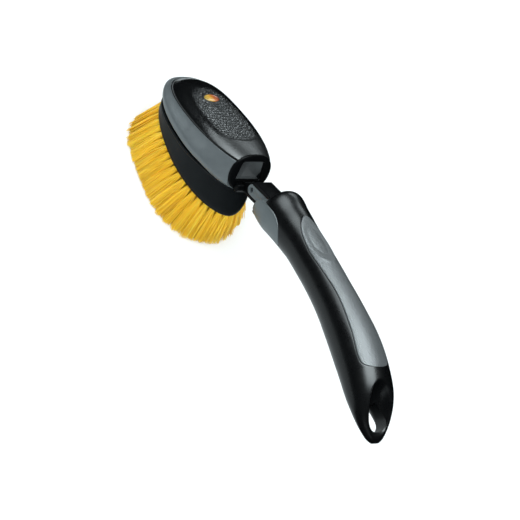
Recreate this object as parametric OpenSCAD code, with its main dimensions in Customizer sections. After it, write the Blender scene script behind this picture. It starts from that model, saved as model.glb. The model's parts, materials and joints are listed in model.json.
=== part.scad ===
// Hand wheel brush with a tilting, indexed head.
// Frame: +X runs from the handle's tail towards the head's tip, +Z is up with
// the bristle plane level, and the object is symmetric about the XZ plane.
// The origin is the bottom centre of the whole object's box.
// Every module is drawn around the hinge axis and then moved to its place.

/* [Hinge] */
// Hinge axis, distance in front of the origin
hinge_x = 48.4; // [47:0.1:51]
// Hinge axis, height above the bristle tips
hinge_z = 60; // [58:0.5:62]
// Hinge pin radius
pin_r = 1.5; // [1.3:0.05:1.6]
// Radial running clearance of the pin in the knuckle
pin_clear = 0.05; // [0.02:0.01:0.1]
// Slope of the neck, rising towards the handle, degrees
neck_pitch = 25; // [24:0.5:26]
// Angle between two lock positions of the head, degrees
index_step = 20; // [16:1:20]
// Radius of the toothed sector on the knuckle
sector_r = 4.6; // [4.4:0.1:4.7]

/* [Head] */
// Centre of the bristle block in front of the hinge
head_cx = 53; // [52:0.5:54]
// Half width of the bristle block
block_b = 29.4; // [28.5:0.1:30]
// Front half length of the bristle block
block_af = 46; // [45:0.5:47]
// Rear half length of the bristle block
block_ar = 50; // [49:0.5:50.5]
// Height of the block's underside, below the hinge
block_z = -37; // [-37.5:0.5:-36.5]
// Thickness of the block plate that holds the tufts
plate_t = 6; // [5.5:0.5:7]
// Half width of the top cap
cap_b = 23.8; // [23:0.1:24]
// Crown of the top cap above its edge
cap_crown = 6.5; // [4:0.5:8]
// Slope of the cap plane, degrees, falling towards the tip
cap_pitch = 20.3; // [19.5:0.1:21]

/* [Tufts] */
// Radius of one tuft
tuft_r = 1.85; // [1.6:0.05:1.9]
// Distance between neighbouring tufts in a row
tuft_pitch = 5.1; // [5:0.1:5.6]
// Sideways spread of the tips against the roots
flare_y = 1.45; // [1.3:0.01:1.5]
// Lengthways spread of the tips against the roots
flare_x = 1.13; // [1.1:0.01:1.2]
// Depth of a tuft hole in the block
tuft_depth = 4.4; // [4:0.1:4.6]

/* [Handle] */
// Depth of the soft grip's seat
grip_depth = 1.6; // [1.2:0.1:2]
// Half angle that the soft grip covers, degrees
grip_half = 50; // [46:1:54]
// Radius of the hanging hole
hang_r = 7; // [6.5:0.1:7.2]
// Distance from the hinge back to the hanging hole
hang_back = 190.5; // [190:0.5:191]

/* [Release] */
// Travel of the release trigger
release_travel = 2; // [1.8:0.1:2.1]
// Clearance around the trigger in the handle
trigger_gap = 0.35; // [0.3:0.05:0.4]

/* [Hidden] */
$fn = 40;
M = 48;   // points round a head outline

module at_hinge() translate([hinge_x, 0, hinge_z]) children();
module in_neck() at_hinge() rotate([0, neck_pitch, 0]) children();

// ---- lofts ---------------------------------------------------------------
function flat(l) = [for (a = l) for (b = a) b];
function fan_end(r, n, up) = [for (i = [0 : n - 1]) let(a = r * n + i, b = r * n + (i + 1) % n)
    up ? [a, b, -1] : [b, a, -1]];
// Rings of equal count, closed at both ends by a fan about a centre point.
module loft(rings) {
    n = len(rings[0]);
    k = len(rings);
    pts = flat(rings);
    function mid(r) = [for (j = [0 : 2]) let(s = [for (p = r) p[j]]) s * [for (p = r) 1] / n];
    side = [for (r = [0 : k - 2]) for (i = [0 : n - 1]) let(a = r * n + i, b = r * n + (i + 1) % n)
        each [[a, b, b + n], [a, b + n, a + n]]];
    lo = [for (i = [0 : n - 1]) [(i + 1) % n, i, k * n]];
    hi = [for (i = [0 : n - 1]) [(k - 1) * n + i, (k - 1) * n + (i + 1) % n, k * n + 1]];
    polyhedron(points = concat(pts, [mid(rings[0]), mid(rings[k - 1])]),
        faces = [for (f = concat(side, lo, hi)) [f[2], f[1], f[0]]], convexity = 6);
}
// Rings of equal count that run round and meet the first ring again.
module ring_loft(rings) {
    n = len(rings[0]);
    k = len(rings);
    side = [for (r = [0 : k - 1]) for (i = [0 : n - 1])
        let(q = (r + 1) % k, a = r * n + i, b = r * n + (i + 1) % n, c = q * n + (i + 1) % n, d = q * n + i)
        each [[a, b, c], [a, c, d]]];
    polyhedron(points = flat(rings), faces = [for (f = side) [f[2], f[1], f[0]]], convexity = 6);
}

// ---- head outlines -------------------------------------------------------
function sgp(v, e) = sign(v) * pow(abs(v), e);
// A point of an egg outline: blunt in front, elliptical behind.
function egg(t, cx, af, ar, b, n = 2.5, e = 1.15) = let(c = cos(t), s = sin(t))
    c >= 0 ? [cx + af * sgp(c, 2 / n), b * sgp(s, 2 / n)] : [cx + ar * c, b * sgp(s, e)];
// Height of the parting line between block and bumper at x.
function part_z(x) = x < 30 ? -15.3 : -15.3 - 0.235 * (x - 30);
// Height of the cap plane at x.
function cap_z(x) = -10.8 - tan(cap_pitch) * (x - 62.8);
// Ring with its height taken from a line: kind 0 level, 1 parting line, 2 cap plane.
function ring(af, ar, b, kind, dz, cx = head_cx, n = 2.5, e = 1) = [for (i = [0 : M - 1])
    let(p = egg(360 * i / M, cx, af, ar, b, n, e))
    [p[0], p[1], (kind == 0 ? 0 : kind == 1 ? part_z(p[0]) : cap_z(p[0])) + dz]];
cap_cx = 61;
function cap_ring(k, dz) = ring(42.2 * k, 51 * k, cap_b * k, 2, dz, cap_cx);

// Frame of the slanted rear face of the head: +X points into the head.
module rear_frame() at_hinge() translate([15.5, 0, -3.5]) rotate([0, 25, 0]) children();
// Everything behind the rear face moved into the head by d.
module behind_rear(d = 0) rear_frame() translate([-80 + d, -60, -60]) cube([80, 120, 120]);

// ---- handle --------------------------------------------------------------
// Stations along the handle: x, height of the centre, half width, half height.
ST = [[-19.8, 9.9, 11.5, 12.2], [-20.8, 10.2, 13.9, 14.4], [-22.8, 10.8, 15.5, 16], [-25.5, 11.7, 16, 16.5],
    [-30, 12.9, 15.6, 16], [-35, 14.2, 15, 15.4], [-40, 15.6, 14.6, 15], [-46, 17.1, 14.2, 14.5],
    [-55, 19.4, 13.7, 13.9], [-64, 21.3, 13.6, 13.8], [-73, 22.9, 13.6, 13.8], [-82, 24.5, 13.7, 13.9],
    [-90, 25.8, 14, 14], [-99, 27, 14.3, 14.3], [-107, 27.9, 14.7, 14.7], [-115, 28.5, 15.2, 15.2],
    [-123, 28.9, 15.8, 15.7], [-131, 29.2, 16.3, 16.2], [-139, 29.2, 16.7, 16.5], [-146, 28.9, 17, 16.5],
    [-154, 28.2, 17, 16.3], [-161, 27.2, 17, 15.8], [-168, 25.9, 16.9, 15.1], [-175, 24.1, 16.4, 13.8],
    [-181, 22, 15.4, 11.8], [-187, 19.4, 13.6, 9.6], [-192.5, 16.8, 11.2, 7.4], [-197, 14.6, 8.4, 5.6],
    [-200.5, 12.9, 5.4, 4], [-202.4, 12, 2.6, 2.2]];
function st_at(x) = let(i = max([for (k = [0 : len(ST) - 2]) ST[k][0] >= x ? k : 0]),
    u = (ST[i][0] - x) / (ST[i][0] - ST[i + 1][0])) ST[i] * (1 - u) + ST[i + 1] * u;
grip_x = [-42.6, -43.4, -45, -49, -55, -62, -71, -80, -90, -98, -106, -114, -123, -132, -142, -150, -154.5, -157.2, -159.3, -160.4, -161.2];
grip_a = [4, 5, 12, 25, 37, 45, 49, 47, 43, 40, 38.5, 39, 41, 43, 45, 46.5, 44.5, 39, 29, 15, 10];
function tilt(x) = let(a = st_at(min(x + 3, -19.9)), b = st_at(max(x - 3, -202.3))) atan2(b[1] - a[1], a[0] - b[0]);
// Point of the handle's skin at station s, angle t from the top towards +Y, moved out by d.
function skin(s, t, d) = let(p = tilt(s[0]), y = (s[2] + d) * sin(t), h = (s[3] + d) * cos(t))
    [s[0] + h * sin(p), y, s[1] + h * cos(p)];
A_OUT = 18;  // points round the part of a ring outside the grip
A_IN = 10;   // points across the grip
function h_ring(s, a, dep) = concat(
    [for (i = [0 : A_OUT]) skin(s, a + (360 - 2 * a) * i / A_OUT, 0)],
    [for (i = [0 : A_IN]) skin(s, -a + 2 * a * i / A_IN, -dep)]);
handle_rings = concat(
    [for (s = ST) if (s[0] > -42) h_ring(s, 4, 0.05)],
    [for (i = [0 : len(grip_x) - 1]) h_ring(st_at(grip_x[i]), grip_a[i], i == 0 || i == len(grip_x) - 1 ? 0.05 : grip_depth)],
    [for (s = ST) if (s[0] < -163) h_ring(s, 10, 0.05)]);

// Outline of the trigger's cheek in the neck frame, grown by g.
function cheek(g) = concat(
    [for (i = [0 : 10]) let(t = 9 * i) [-25 - (23.4 + g) * sgp(cos(t), 0.85), -12.6 + (18.6 + g) * sgp(sin(t), 0.85)]],
    [[-18.6, 6 + g], [-12.2 + g, -7.5], [-12.2 + g, -12.6 - g], [-48.4 - g, -12.6 - g]]);
module cheek_prism(g, y0, y1) rotate([90, 0, 0]) translate([0, 0, -y1]) linear_extrude(y1 - y0) polygon(cheek(g));

module tail_frame() at_hinge() translate([-hang_back, 0, 17.9]) rotate([0, -24, 0]) children();

module handle_body() color([0.09, 0.09, 0.1]) difference() {
    at_hinge() loft(handle_rings);
    // seat of the neck
    in_neck() translate([-46.4, -7.35, -6.6]) cube([36, 14.7, 13.3]);
    in_neck() translate([-58.8, -7.35, -4]) cube([14, 14.7, 8]);
    // windows of the trigger's cheeks
    in_neck() cheek_prism(trigger_gap, -25, 25);
    // cross holes of the neck pins
    for (x = [-51.6, -56]) in_neck() translate([x, 0, 0]) rotate([90, 0, 0]) cylinder(r = 1.5, h = 22, center = true);
    // hanging hole, a round bore with a pointed nose and eased rims
    tail_frame() cylinder(r = hang_r, h = 60, center = true);
    tail_frame() translate([0, 0, -30]) linear_extrude(60)
        polygon([[4.9, 4.65], [10, 3], [12.6, 1.2], [12.6, -1.2], [10, -3], [4.9, -4.65]]);
    tail_frame() translate([0, 0, -1]) cylinder(r1 = hang_r, r2 = hang_r + 8, h = 8);
    tail_frame() translate([0, 0, -11]) cylinder(r1 = hang_r + 4, r2 = hang_r, h = 5);
    // thumb ramp that falls from the grip's end to the hole
    tail_frame() translate([1.6, 0, 2.7]) rotate([0, 47.5, 0]) cylinder(r = 8.7, h = 50);
}
module grip_overmould() color([0.45, 0.47, 0.48]) at_hinge() {
    n = len(grip_x) - 2;
    rings = [for (i = [1 : n]) let(s = st_at(grip_x[i]), a = grip_a[i] - 1) concat(
        [for (k = [0 : A_IN]) skin(s, a - 2 * a * k / A_IN, 0.25 - (k == 0 || k == A_IN ? 0.35 : 0))],
        [for (k = [0 : A_IN]) skin(s, -a + 2 * a * k / A_IN, -grip_depth + 0.12)])];
    loft([for (r = rings) [for (i = [len(r) - 1 : -1 : 0]) r[i]]]);
}

// ---- neck ----------------------------------------------------------------
module neck_plate(side) color([0.36, 0.38, 0.4]) in_neck() difference() {
    union() {
        translate([0, side * 6, 0]) rotate([90, 0, 0]) cylinder(r = 3.6, h = 2, center = true);
        translate([-58.5, side * 6 - 1, -3.6]) cube([58.5, 2, 7.2]);
    }
    rotate([90, 0, 0]) cylinder(r = pin_r, h = 20, center = true);
    for (x = [-51.6, -56]) translate([x, 0, 0]) rotate([90, 0, 0]) cylinder(r = 1.5, h = 30, center = true);
    translate([-19.5, side * 6 - 3, 2.3]) cube([1.6, 6, 3]);
}
module neck_plate_left() neck_plate(1);
module neck_plate_right() neck_plate(-1);
module neck_core() color([0.07, 0.07, 0.08]) in_neck() difference() {
    union() {
        translate([-46, -7, 3.65]) cube([46.35, 14, 2.65]);
        translate([-58.5, -4.95, -3.5]) cube([10.5, 9.9, 7.2]);
        translate([-58.5, -4.95, 2.95]) cube([14, 9.9, 0.75]);
    }
    rotate([90, 0, 0]) cylinder(r = 5.05, h = 10, center = true);
    for (x = [-51.6, -56]) translate([x, 0, 0]) rotate([90, 0, 0]) cylinder(r = 1.5, h = 30, center = true);
    // front edge eased
    translate([0.35, 0, 6.3]) rotate([0, 45, 0]) cube([1.2, 30, 1.2], center = true);
}
module hinge_pin() color("silver") in_neck() rotate([90, 0, 0]) cylinder(r = pin_r, h = 13, center = true);
module neck_pins() color("silver") for (x = [-51.6, -56]) in_neck() translate([x, 0, 0]) rotate([90, 0, 0])
    cylinder(r = 1.5, h = 20, center = true);

// ---- release -------------------------------------------------------------
module cone_x(x0, r0, x1, r1) at_hinge() translate([-23, 0, 11]) rotate([0, 16, 0]) translate([x0, 0, 0])
    rotate([0, 90, 0]) cylinder(r1 = r0, r2 = r1, h = x1 - x0, $fn = 72);
module release_trigger() color([0.36, 0.38, 0.4]) difference() {
    intersection() {
        in_neck() cheek_prism(0, -20, 20);
        union() {
            cone_x(-40, 14.2, -18, 14.3);
            cone_x(-18, 14.3, -4, 15.8);
            cone_x(-4, 15.8, 3, 15.8);
            cone_x(3, 15.8, 14, 12.4);
        }
    }
    // the neck runs through
    in_neck() translate([-60, -7.45, -6.5]) cube([70, 14.9, 20]);
    // hollow behind the finger face
    in_neck() translate([-60, -9.5, -20]) cube([31, 19, 30]);
    // screw hole
    in_neck() translate([-23, 0, -13]) cylinder(r = 1.25, h = 10);
    in_neck() translate([-23, 0, -13]) cylinder(r = 2.6, h = 3.2);
}
module lock_bar() color([0.07, 0.07, 0.08]) in_neck() difference() {
    union() {
        translate([-30, -6.9, -6]) cube([35.7, 13.8, 2.1]);
        translate([-36, -4.6, -4]) cube([28, 9.2, 6.4]);
        translate([-8.5, -3.4, -0.45]) cube([3.2, 6.8, 0.9]);
    }
    translate([-5.8, -5.1, -8]) cube([20, 10.2, 6]);
    translate([-23, 0, -7]) cylinder(r = 1.25, h = 7);
    translate([-36.5, 0, 0]) rotate([0, 90, 0]) cylinder(r = 1.6, h = 0.4);
}
module trigger_screw() color("silver") in_neck() translate([-23, 0, 0]) {
    translate([0, 0, -12]) cylinder(r = 2.4, h = 2.2);
    translate([0, 0, -9.9]) cylinder(r = 1.2, h = 8.9);
}
// Coil of round wire between the lock bar's tail and the neck core.
sp_n = 6; sp_seg = 14; sp_r = 2.3; sp_w = 0.35; sp_x0 = -47.5; sp_x1 = -36.5;
module lock_spring() color("silver") in_neck() {
    k = sp_n * sp_seg;
    rings = [for (i = [0 : k]) let(t = 360 * i / sp_seg, x = sp_x0 + (sp_x1 - sp_x0) * i / k)
        [for (j = [0 : 5]) let(q = 60 * j) [x + sp_w * sin(q), (sp_r + sp_w * cos(q)) * cos(t), (sp_r + sp_w * cos(q)) * sin(t)]]];
    loft(rings);
}

// ---- knuckle -------------------------------------------------------------
module index_knuckle() color([0.08, 0.08, 0.09]) difference() {
    union() {
        at_hinge() rotate([90, 0, 0]) cylinder(r = sector_r, h = 9.2, center = true);
        at_hinge() rotate([0, 47, 0]) translate([0, -4.6, -3.2]) cube([13, 9.2, 6.4]);
        // foot that sits on the ring
        rear_frame() translate([-6.2, -9.4, -12.3]) cube([4.65, 18.8, 6.5]);
    }
    at_hinge() rotate([90, 0, 0]) cylinder(r = pin_r + pin_clear, h = 20, center = true);
    for (k = [-2 : 2]) in_neck() rotate([0, -k * index_step, 0]) translate([-6, -5, -0.5]) cube([2.8, 10, 1]);
    for (y = [-6.8, 6.8]) rear_frame() translate([-5.2, y, screw_z]) rotate([0, 90, 0]) cylinder(r = 1.1, h = 12);
}
screw_z = -9;
module knuckle_screws() color("silver") for (y = [-6.8, 6.8]) rear_frame() translate([0, y, screw_z]) {
    translate([-5.1, 0, 0]) rotate([0, 90, 0]) cylinder(r = 1.05, h = 8);
    translate([2.65, 0, 0]) rotate([0, 90, 0]) cylinder(r = 2, h = 1.4);
}

// ---- bristle block -------------------------------------------------------
screw_xy = [[26, 10], [26, -10], [82, 11], [82, -11]];
module brush_block() color([0.06, 0.06, 0.07]) difference() {
    at_hinge() union() {
        ring_loft([
            ring(block_af - 0.8, block_ar - 0.8, block_b - 0.8, 0, block_z, e = 1.15),
            ring(block_af, block_ar, block_b, 0, block_z + 0.9, e = 1.15),
            ring(block_af + 0.5, block_ar - 1.2, block_b + 0.3, 0, block_z + 4, e = 1.1),
            ring(block_af + 1, block_ar - 9.5, block_b + 0.8, 1, -1.5, e = 1.2),
            ring(block_af - 1.4, block_ar - 12, block_b - 1.6, 1, -1.5, e = 1.2),
            ring(block_af - 1.6, block_ar - 5, block_b - 2, 0, block_z + plate_t - 0.4, e = 1.15),
            ring(block_af - 6, block_ar - 8, block_b - 6, 0, block_z + 2, e = 1.15)]);
        translate([0, 0, block_z]) linear_extrude(plate_t)
            polygon([for (i = [0 : M - 1]) egg(360 * i / M, head_cx, block_af - 0.8, block_ar - 0.8, block_b - 0.8)]);
    }
    for (t = all_tufts) tuft_hole(t);
    for (p = screw_xy) at_hinge() translate([p[0], p[1], block_z - 1]) {
        cylinder(r = 1.5, h = 12);
        cylinder(r = 3, h = 3);
    }
}
// A tuft is [root x, root y]; its tip follows from the spread.
function row_pts(k) = let(d = 2.9 + 5.2 * (k - 1), af = block_af - d, ar = block_ar - d, b = block_b - d,
    per = PI * (3 * ((af + ar) / 2 + b) - sqrt((3 * (af + ar) / 2 + b) * ((af + ar) / 2 + 3 * b))),
    n = 2 * floor(per / tuft_pitch / 2)) [for (i = [0 : n - 1]) egg(arc_t(i / n, af, ar, b), head_cx, af, ar, b)];
// Even steps along an egg outline, found by walking it.
function arc_table(af, ar, b) = let(p = [for (i = [0 : 180]) egg(2 * i, 0, af, ar, b)])
    [for (i = 0, s = 0; i <= 180; s = s + (i < 180 ? norm(p[i + 1] - p[i]) : 0), i = i + 1) s];
function arc_t(f, af, ar, b) = let(tb = arc_table(af, ar, b), g = f * tb[180],
    i = max([for (k = [0 : 179]) tb[k] <= g ? k : 0])) 2 * (i + (g - tb[i]) / max(0.001, tb[i + 1] - tb[i]));
function near_screw(p) = min([for (s = screw_xy) norm([p[0] - s[0], p[1] - s[1]])]) < 5.4;
rows = [for (k = [1 : 5]) [for (p = row_pts(k)) if (!near_screw(p)) p]];
all_tufts = flat(rows);
function tip(p) = let(back = max(0, head_cx - p[0]))
    [head_cx - 1 + (p[0] - head_cx) * (back > 0 ? 1.07 : flare_x), p[1] * (flare_y - back * 0.0025)];
function tuft_dir(p) = let(v = [tip(p)[0] - p[0], tip(p)[1] - p[1], -hinge_z - block_z]) v / norm(v);
// Along +Z of this frame runs from the root down the tuft.
module tuft_frame(p) { d = tuft_dir(p); at_hinge() translate([p[0], p[1], block_z])
    rotate([0, acos(d[2]), atan2(d[1], d[0])]) children(); }
function tuft_len(p) = let(d = tuft_dir(p)) (hinge_z + block_z - tuft_r * norm([d[0], d[1]])) / -d[2];
module tuft(p) tuft_frame(p) translate([0, 0, -tuft_depth + 1]) cylinder(r = tuft_r, h = tuft_len(p) + tuft_depth - 1, $fn = 16);
module tuft_hole(p) tuft_frame(p) translate([0, 0, -tuft_depth]) cylinder(r = tuft_r + 0.08, h = tuft_depth + 3, $fn = 16);
stance = [for (k = [0 : 9]) round(k * len(rows[0]) / 10)];
function is_stance(i) = len([for (s = stance) if (s == i) 1]) > 0;
module tufts(k) color([0.93, 0.75, 0.18]) for (i = [0 : len(rows[k]) - 1]) if (k > 0 || !is_stance(i)) tuft(rows[k][i]);
module tufts_stance() color([0.93, 0.75, 0.18]) for (i = [0 : len(rows[0]) - 1]) if (is_stance(i)) tuft(rows[0][i]);
module tufts_row_1() tufts(0);
module tufts_row_2() tufts(1);
module tufts_row_3() tufts(2);
module tufts_row_4() { tufts(3); tufts(4); }
module tuft_anchors() color("silver") for (p = all_tufts) tuft_frame(p) translate([0, 0, -tuft_depth + 0.5])
    rotate([90, 0, 0]) cylinder(r = 0.35, h = 3, center = true, $fn = 16);
module block_screws() color("silver") for (p = screw_xy) at_hinge() translate([p[0], p[1], block_z]) {
    translate([0, 0, 0.2]) cylinder(r = 2.7, h = 1.7);
    translate([0, 0, 1.8]) cylinder(r = 1.25, h = 11);
}

// ---- upper head ----------------------------------------------------------
module head_housing() color([0.06, 0.06, 0.07]) difference() {
    union() {
        at_hinge() ring_loft([
            ring(block_af - 2, block_ar - 10, block_b - 2.6, 1, -1.0),
            ring(block_af - 0.5, block_ar - 8.5, block_b - 1.2, 1, 0.3),
            ring(block_af + 3.1, block_ar - 6.8, block_b - 2.1, 1, 4),
            cap_ring(0.985, -2.6), cap_ring(0.8, -2.6), cap_ring(0.8, -5),
            ring(block_af - 1, block_ar - 9, block_b - 5, 1, 3),
            ring(block_af - 4, block_ar - 12, block_b - 5, 1, -1.0)]);
        // inner deck under the cap
        at_hinge() loft([cap_ring(0.86, -4.9), cap_ring(0.86, -2.7)]);
        // posts for the block screws
        for (p = screw_xy) at_hinge() translate([p[0], p[1], block_z + plate_t]) cylinder(r = 3.6, h = cap_z(p[0]) - 4 - block_z - plate_t);
        // rear wall on the slant
        intersection() {
            at_hinge() loft([ring(block_af - 3, block_ar - 10.5, block_b - 3, 1, -1), cap_ring(0.97, -2.7)]);
            difference() { behind_rear(2.6); behind_rear(0); }
        }
    }
    behind_rear(0);
    for (p = screw_xy) at_hinge() translate([p[0], p[1], block_z]) cylinder(r = 1.3, h = 14.5);
    // holes of the knuckle screws, and the window of the recess insert
    for (y = [-6.8, 6.8]) rear_frame() translate([0, y, screw_z]) {
        translate([-3, 0, 0]) rotate([0, 90, 0]) cylinder(r = 1.1, h = 8);
        translate([2.6, 0, 0]) rotate([0, 90, 0]) cylinder(r = 2.2, h = 6);
    }
    rear_frame() translate([-4, -9.5, -5.7]) cube([12, 19, 14.2]);
    // nothing below the tuft plate's top
    at_hinge() translate([0, -60, block_z - 20]) cube([160, 120, plate_t + 20.05]);
}
module bumper_band() color([0.5, 0.53, 0.55]) difference() {
    at_hinge() ring_loft([
        ring(block_af + 0.2, block_ar - 7.6, block_b - 0.3, 1, 0.4),
        ring(block_af + 4.2, block_ar - 5.6, block_b + 1, 1, 1.2),
        ring(block_af + 7.6, block_ar - 3, block_b + 0.9, 1, 4.6),
        cap_ring(1.045, -1.6), cap_ring(1.012, -0.3), cap_ring(1.003, -2.5),
        ring(block_af + 3.6, block_ar - 6.3, block_b - 1.6, 1, 4)]);
    behind_rear(0);
}
module top_cap() color([0.05, 0.05, 0.055]) difference() {
    at_hinge() loft([cap_ring(0.985, -2.5), cap_ring(0.992, -0.2), cap_ring(0.95, cap_crown * 0.2),
        cap_ring(0.8, cap_crown * 0.55), cap_ring(0.6, cap_crown * 0.82), cap_ring(0.35, cap_crown * 0.96),
        cap_ring(0.12, cap_crown)]);
    behind_rear(0);
    // hollow below
    difference() {
        at_hinge() loft([cap_ring(0.9, -4), cap_ring(0.9, -0.4), cap_ring(0.86, cap_crown * 0.2 - 1.4), cap_ring(0.72, cap_crown * 0.55 - 1.9),
            cap_ring(0.5, cap_crown * 0.82 - 2), cap_ring(0.12, cap_crown - 2.2)]);
        behind_rear(2.4);
    }
    rear_frame() translate([-4, -9.5, -5.7]) cube([12, 19, 14.2]);
    at_hinge() translate([78, 0, cap_z(78) + cap_crown * 0.93]) rotate([0, cap_pitch, 0]) translate([0, 0, -1.25]) linear_extrude(4) badge_oval(0.1);
}
module badge_oval(g) polygon([for (i = [0 : 39]) [(3.6 + g) * cos(9 * i), (5.8 + g) * sin(9 * i)]]);
module cap_badge() color([0.85, 0.5, 0.1]) at_hinge() translate([78, 0, cap_z(78) + cap_crown * 0.93])
    rotate([0, cap_pitch, 0]) translate([0, 0, -1.2]) linear_extrude(1.35) badge_oval(0);

// Plate with a rounded outline on the rear face, from depth x0 to x1.
module oval_plate(x0, x1, a, b) translate([x0, 0, 0]) rotate([90, 0, 90]) linear_extrude(x1 - x0)
    polygon([for (i = [0 : 39]) let(t = 9 * i) [a * sgp(cos(t), 0.85), 0.6 + b * sgp(sin(t), 0.85)]]);
module socket_ring() color([0.04, 0.04, 0.045]) rear_frame() difference() {
    union() {
        oval_plate(-1.5, -1, 15.5, 13);
        oval_plate(-1.02, -0.03, 16.3, 13.5);
    }
    translate([-6, -9.45, -5.65]) cube([12, 18.9, 14.1]);
    for (y = [-6.8, 6.8]) translate([-3, y, screw_z]) rotate([0, 90, 0]) cylinder(r = 1.1, h = 8);
}
module socket_insert() color([0.16, 0.17, 0.18]) rear_frame() difference() {
    translate([-0.9, -9.3, -5.5]) cube([7.6, 18.6, 13.8]);
    // faceted recess
    polyhedron(points = [[-2, -8.3, -4.5], [-2, 8.3, -4.5], [-2, 8.3, 7.3], [-2, -8.3, 7.3],
            [5.3, -3, -0.2], [5.3, 5.2, -0.2], [5.3, 5.2, 4.6], [5.3, -3, 4.6]],
        faces = [[0, 1, 2, 3], [7, 6, 5, 4], [1, 0, 4, 5], [2, 1, 5, 6], [3, 2, 6, 7], [0, 3, 7, 4]]);
}

handle_body();
grip_overmould();
neck_plate_left();
neck_plate_right();
neck_core();
hinge_pin();
neck_pins();
release_trigger();
lock_bar();
trigger_screw();
lock_spring();
index_knuckle();
knuckle_screws();
brush_block();
head_housing();
bumper_band();
top_cap();
cap_badge();
socket_ring();
socket_insert();
block_screws();
tufts_stance();
tufts_row_1();
tufts_row_2();
tufts_row_3();
tufts_row_4();
tuft_anchors();
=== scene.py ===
import json
import math

import bmesh
import bpy
import numpy as np
from mathutils import Matrix, Vector

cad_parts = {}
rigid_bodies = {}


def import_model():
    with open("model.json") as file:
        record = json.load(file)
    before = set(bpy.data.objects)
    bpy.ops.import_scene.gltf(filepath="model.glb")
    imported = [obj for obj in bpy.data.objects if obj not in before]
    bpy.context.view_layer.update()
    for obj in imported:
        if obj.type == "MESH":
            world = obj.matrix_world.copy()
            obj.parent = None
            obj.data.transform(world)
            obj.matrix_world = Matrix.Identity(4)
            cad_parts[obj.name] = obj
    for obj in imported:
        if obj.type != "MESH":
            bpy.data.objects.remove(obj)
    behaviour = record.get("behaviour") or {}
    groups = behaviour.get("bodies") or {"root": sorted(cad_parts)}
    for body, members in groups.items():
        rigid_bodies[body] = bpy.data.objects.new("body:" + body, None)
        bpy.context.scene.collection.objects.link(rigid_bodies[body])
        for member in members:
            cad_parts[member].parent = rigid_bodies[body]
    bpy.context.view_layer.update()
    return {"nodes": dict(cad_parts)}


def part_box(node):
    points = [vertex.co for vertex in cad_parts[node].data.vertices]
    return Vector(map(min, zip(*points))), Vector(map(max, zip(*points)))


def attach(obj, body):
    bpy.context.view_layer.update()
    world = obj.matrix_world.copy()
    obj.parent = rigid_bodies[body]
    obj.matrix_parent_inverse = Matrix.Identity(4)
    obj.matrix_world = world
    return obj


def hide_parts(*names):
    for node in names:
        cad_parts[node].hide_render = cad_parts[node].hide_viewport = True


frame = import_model()
rng = np.random.default_rng(7)

# ------------------------------------------------------------------ frame
lo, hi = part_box("hinge_pin")
HINGE = np.array([(lo[i] + hi[i]) * 500.0 for i in range(3)])   # mm
HINGE[1] = 0.0
C25, S25 = math.cos(math.radians(25)), math.sin(math.radians(25))
C24, S24 = math.cos(math.radians(24)), math.sin(math.radians(24))


def to_m(v):
    """Hinge-relative millimetres to the row frame in metres."""
    return (np.asarray(v, dtype=float) + HINGE) * 0.001


def neck(x, y, w):
    x, y, w = np.broadcast_arrays(np.asarray(x, float), np.asarray(y, float), np.asarray(w, float))
    return np.stack([x * C25 + w * S25, y, -x * S25 + w * C25], axis=-1)


def rear(x, y, z):
    """Frame of the head's slanted rear face; +x goes into the head."""
    x, y, z = np.broadcast_arrays(np.asarray(x, float), np.asarray(y, float), np.asarray(z, float))
    return np.stack([15.5 + x * C25 + z * S25, y, -3.5 - x * S25 + z * C25], axis=-1)


def tail(x, y, z):
    x, y, z = np.broadcast_arrays(np.asarray(x, float), np.asarray(y, float), np.asarray(z, float))
    return np.stack([-190.5 + x * C24 - z * S24, y, 17.9 + x * S24 + z * C24], axis=-1)


def to_tail(p):
    dx, dz = p[..., 0] + 190.5, p[..., 2] - 17.9
    return dx * C24 + dz * S24, p[..., 1], -dx * S24 + dz * C24


# ------------------------------------------------------------------ mesh help
def smoothstep(v):
    v = np.clip(v, 0, 1)
    return v * v * (3 - 2 * v)


def sgp(v, e):
    return np.sign(v) * np.abs(v) ** e


class Spline:
    """Natural cubic spline through (t, y)."""

    def __init__(self, t, y):
        self.t = np.asarray(t, float)
        self.y = np.asarray(y, float)
        n = len(self.t)
        h = np.diff(self.t)
        a = np.zeros((n, n))
        b = np.zeros(n)
        a[0, 0] = a[-1, -1] = 1
        for i in range(1, n - 1):
            a[i, i - 1], a[i, i], a[i, i + 1] = h[i - 1], 2 * (h[i - 1] + h[i]), h[i]
            b[i] = 6 * ((self.y[i + 1] - self.y[i]) / h[i] - (self.y[i] - self.y[i - 1]) / h[i - 1])
        self.m = np.linalg.solve(a, b)

    def __call__(self, q):
        q = np.clip(np.asarray(q, float), self.t[0], self.t[-1])
        i = np.clip(np.searchsorted(self.t, q, side="right") - 1, 0, len(self.t) - 2)
        h = self.t[i + 1] - self.t[i]
        a = (self.t[i + 1] - q) / h
        b = 1 - a
        return a * self.y[i] + b * self.y[i + 1] + ((a ** 3 - a) * self.m[i] + (b ** 3 - b) * self.m[i + 1]) * h * h / 6


def raw_object(name, verts_mm, faces, rel=True):
    me = bpy.data.meshes.new(name)
    v = to_m(verts_mm) if rel else np.asarray(verts_mm, float) * 0.001
    me.from_pydata([tuple(p) for p in v], [], [tuple(int(i) for i in f) for f in faces])
    me.validate()
    me.update()
    ob = bpy.data.objects.new(name, me)
    bpy.context.scene.collection.objects.link(ob)
    return ob


def outward(ob):
    bm = bmesh.new()
    bm.from_mesh(ob.data)
    bmesh.ops.recalc_face_normals(bm, faces=bm.faces)
    if bm.calc_volume(signed=True) < 0:
        bmesh.ops.reverse_faces(bm, faces=bm.faces)
    bm.to_mesh(ob.data)
    bm.free()


def shade(ob, angle=32.0):
    me = ob.data
    me.shade_smooth()
    me.set_sharp_from_angle(angle=math.radians(angle))
    me.update()


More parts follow.
